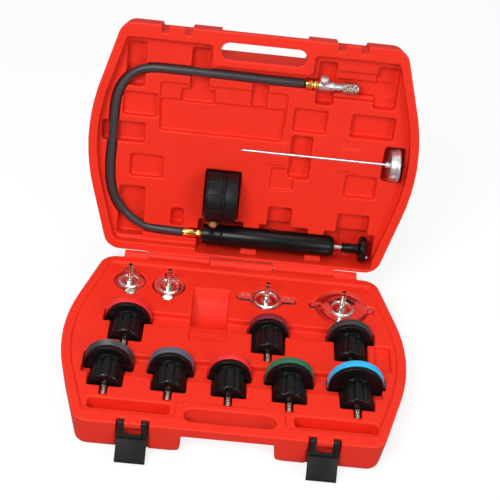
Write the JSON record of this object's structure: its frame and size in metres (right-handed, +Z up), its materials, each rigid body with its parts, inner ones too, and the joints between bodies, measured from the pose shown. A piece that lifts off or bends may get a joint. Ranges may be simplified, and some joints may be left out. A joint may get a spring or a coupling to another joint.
{
  "type": "radiator pressure tester kit",
  "caption": "Cooling system pressure tester in an open moulded case: hand pump with gauge, hose and coupler, dial thermometer, radiator adapters and vented cap plates.",
  "frame": {"origin": "centre of the base's footprint, on the surface that the case lies on", "axes": "+Z up, +X to the right along the lid's hinge, -Y towards the latches and the handle"},
  "size_m": [0.436, 0.4521, 0.3629],
  "materials": {
    "case_red": "moulded, slightly glossy",
    "black_plastic": "moulded, satin",
    "black_rubber": "matt",
    "hose_rubber": "satin",
    "steel": "turned",
    "chrome": "bright",
    "brass": "satin",
    "dial_white": "printed",
    "pointer_black": "satin",
    "lens": "clear",
    "ring_red": "anodised look",
    "ring_maroon": "anodised look",
    "ring_black": "satin",
    "ring_slate": "anodised look",
    "ring_green": "anodised look",
    "ring_blue": "anodised look"
  },
  "bodies": {
    "base": {"case_base": "case_red", "hinge_pin": "steel"},
    "lid": {"case_lid": "case_red"},
    "latch_left": {"latch_left": "black_plastic"},
    "latch_right": {"latch_right": "black_plastic"},
    "adapter_a": {"adapter_a_knob": "black_plastic", "adapter_a_ring": "ring_red", "adapter_a_nipple": "steel"},
    "adapter_b": {"adapter_b_knob": "black_plastic", "adapter_b_ring": "ring_maroon", "adapter_b_nipple": "steel"},
    "adapter_c": {"adapter_c_knob": "black_plastic", "adapter_c_ring": "ring_black", "adapter_c_nipple": "steel"},
    "adapter_d": {"adapter_d_knob": "black_plastic", "adapter_d_ring": "ring_black", "adapter_d_nipple": "steel"},
    "adapter_e": {"adapter_e_knob": "black_plastic", "adapter_e_ring": "ring_slate", "adapter_e_nipple": "steel"},
    "adapter_f": {"adapter_f_knob": "black_plastic", "adapter_f_ring": "ring_red", "adapter_f_nipple": "steel"},
    "adapter_g": {"adapter_g_knob": "black_plastic", "adapter_g_ring": "ring_green", "adapter_g_nipple": "steel"},
    "adapter_h": {"adapter_h_knob": "black_plastic", "adapter_h_ring": "ring_blue", "adapter_h_nipple": "steel"},
    "cap_1": {"cap_1_plate": "chrome", "cap_1_nipple": "steel"},
    "cap_2": {"cap_2_plate": "chrome", "cap_2_nipple": "steel"},
    "cap_3": {"cap_3_plate": "chrome", "cap_3_nipple": "steel"},
    "cap_4": {"cap_4_plate": "chrome", "cap_4_nipple": "steel"},
    "pump": {"pump_barrel": "black_plastic", "pump_head": "black_plastic", "pump_end_cap": "black_plastic", "gauge_stem": "brass", "gauge_boot": "black_rubber", "gauge_case": "black_plastic", "gauge_dial": "dial_white", "gauge_lens": "lens", "hose": "hose_rubber", "hose_ferrules": "brass", "valve_block": "steel", "coupler_body": "steel"},
    "pump_rod": {"piston_rod": "steel", "piston": "black_rubber", "pump_handle": "black_plastic"},
    "gauge_needle": {"gauge_pointer": "pointer_black"},
    "release_valve": {"release_valve": "steel"},
    "coupler_sleeve": {"coupler_sleeve": "steel"},
    "thermometer": {"thermometer_stem": "steel", "thermometer_head": "steel", "thermometer_dial": "dial_white", "thermometer_lens": "lens"},
    "thermometer_needle": {"thermometer_pointer": "pointer_black"}
  },
  "joints": [
    {"name": "lid_hinge", "type": "hinge", "parent": "base", "child": "lid", "pos_m": [0, 0.1621, 0.048], "axis": [-1, 0, 0], "range_deg": [-102, 0]},
    {"name": "latch_left_hinge", "type": "hinge", "parent": "base", "child": "latch_left", "pos_m": [-0.1125, -0.1539, 0.0435], "axis": [-1, 0, 0], "range_deg": [0, 140]},
    {"name": "latch_right_hinge", "type": "hinge", "parent": "base", "child": "latch_right", "pos_m": [0.1125, -0.1539, 0.0435], "axis": [-1, 0, 0], "range_deg": [0, 140]},
    {"name": "adapter_a_lift", "type": "slide", "parent": "base", "child": "adapter_a", "axis": [0, 0, 1], "range_m": [0, 0.034]},
    {"name": "adapter_b_lift", "type": "slide", "parent": "base", "child": "adapter_b", "axis": [0, 0, 1], "range_m": [0, 0.034]},
    {"name": "adapter_c_lift", "type": "slide", "parent": "base", "child": "adapter_c", "axis": [0, 0, 1], "range_m": [0, 0.034]},
    {"name": "adapter_d_lift", "type": "slide", "parent": "base", "child": "adapter_d", "axis": [0, 0, 1], "range_m": [0, 0.034]},
    {"name": "adapter_e_lift", "type": "slide", "parent": "base", "child": "adapter_e", "axis": [0, 0, 1], "range_m": [0, 0.034]},
    {"name": "adapter_f_lift", "type": "slide", "parent": "base", "child": "adapter_f", "axis": [0, 0, 1], "range_m": [0, 0.034]},
    {"name": "adapter_g_lift", "type": "slide", "parent": "base", "child": "adapter_g", "axis": [0, 0, 1], "range_m": [0, 0.034]},
    {"name": "adapter_h_lift", "type": "slide", "parent": "base", "child": "adapter_h", "axis": [0, 0, 1], "range_m": [0, 0.034]},
    {"name": "cap_1_lift", "type": "slide", "parent": "base", "child": "cap_1", "axis": [0, 0, 1], "range_m": [0, 0.02]},
    {"name": "cap_2_lift", "type": "slide", "parent": "base", "child": "cap_2", "axis": [0, 0, 1], "range_m": [0, 0.02]},
    {"name": "cap_3_lift", "type": "slide", "parent": "base", "child": "cap_3", "axis": [0, 0, 1], "range_m": [0, 0.02]},
    {"name": "cap_4_lift", "type": "slide", "parent": "base", "child": "cap_4", "axis": [0, 0, 1], "range_m": [0, 0.02]},
    {"name": "pump_lift", "type": "slide", "parent": "lid", "child": "pump", "axis": [0, -0.9781, 0.2079], "range_m": [0, 0.03]},
    {"name": "pump_stroke", "type": "slide", "parent": "pump", "child": "pump_rod", "axis": [1, 0, 0], "range_m": [-0.01, 0.007]},
    {"name": "gauge_needle", "type": "hinge", "parent": "pump", "child": "gauge_needle", "pos_m": [-0.025, 0.18862, 0.13908], "axis": [-1, 0, 0], "range_deg": [0, 270], "stiffness_Nm_per_rad": 0.0005},
    {"name": "release_valve", "type": "slide", "parent": "pump", "child": "release_valve", "axis": [0, 0.4695, -0.8829], "range_m": [0, 0.002], "stiffness_N_per_m": 600},
    {"name": "coupler_sleeve", "type": "slide", "parent": "pump", "child": "coupler_sleeve", "axis": [-1, 0, 0], "range_m": [0, 0.004], "stiffness_N_per_m": 500},
    {"name": "thermometer_lift", "type": "slide", "parent": "lid", "child": "thermometer", "axis": [0, -0.9781, 0.2079], "range_m": [0, 0.04]},
    {"name": "thermometer_needle", "type": "hinge", "parent": "thermometer", "child": "thermometer_needle", "pos_m": [0.188, 0.20899, 0.20365], "axis": [-1, 0, 0], "range_deg": [-60, 200], "stiffness_Nm_per_rad": 0.0003}
  ]
}
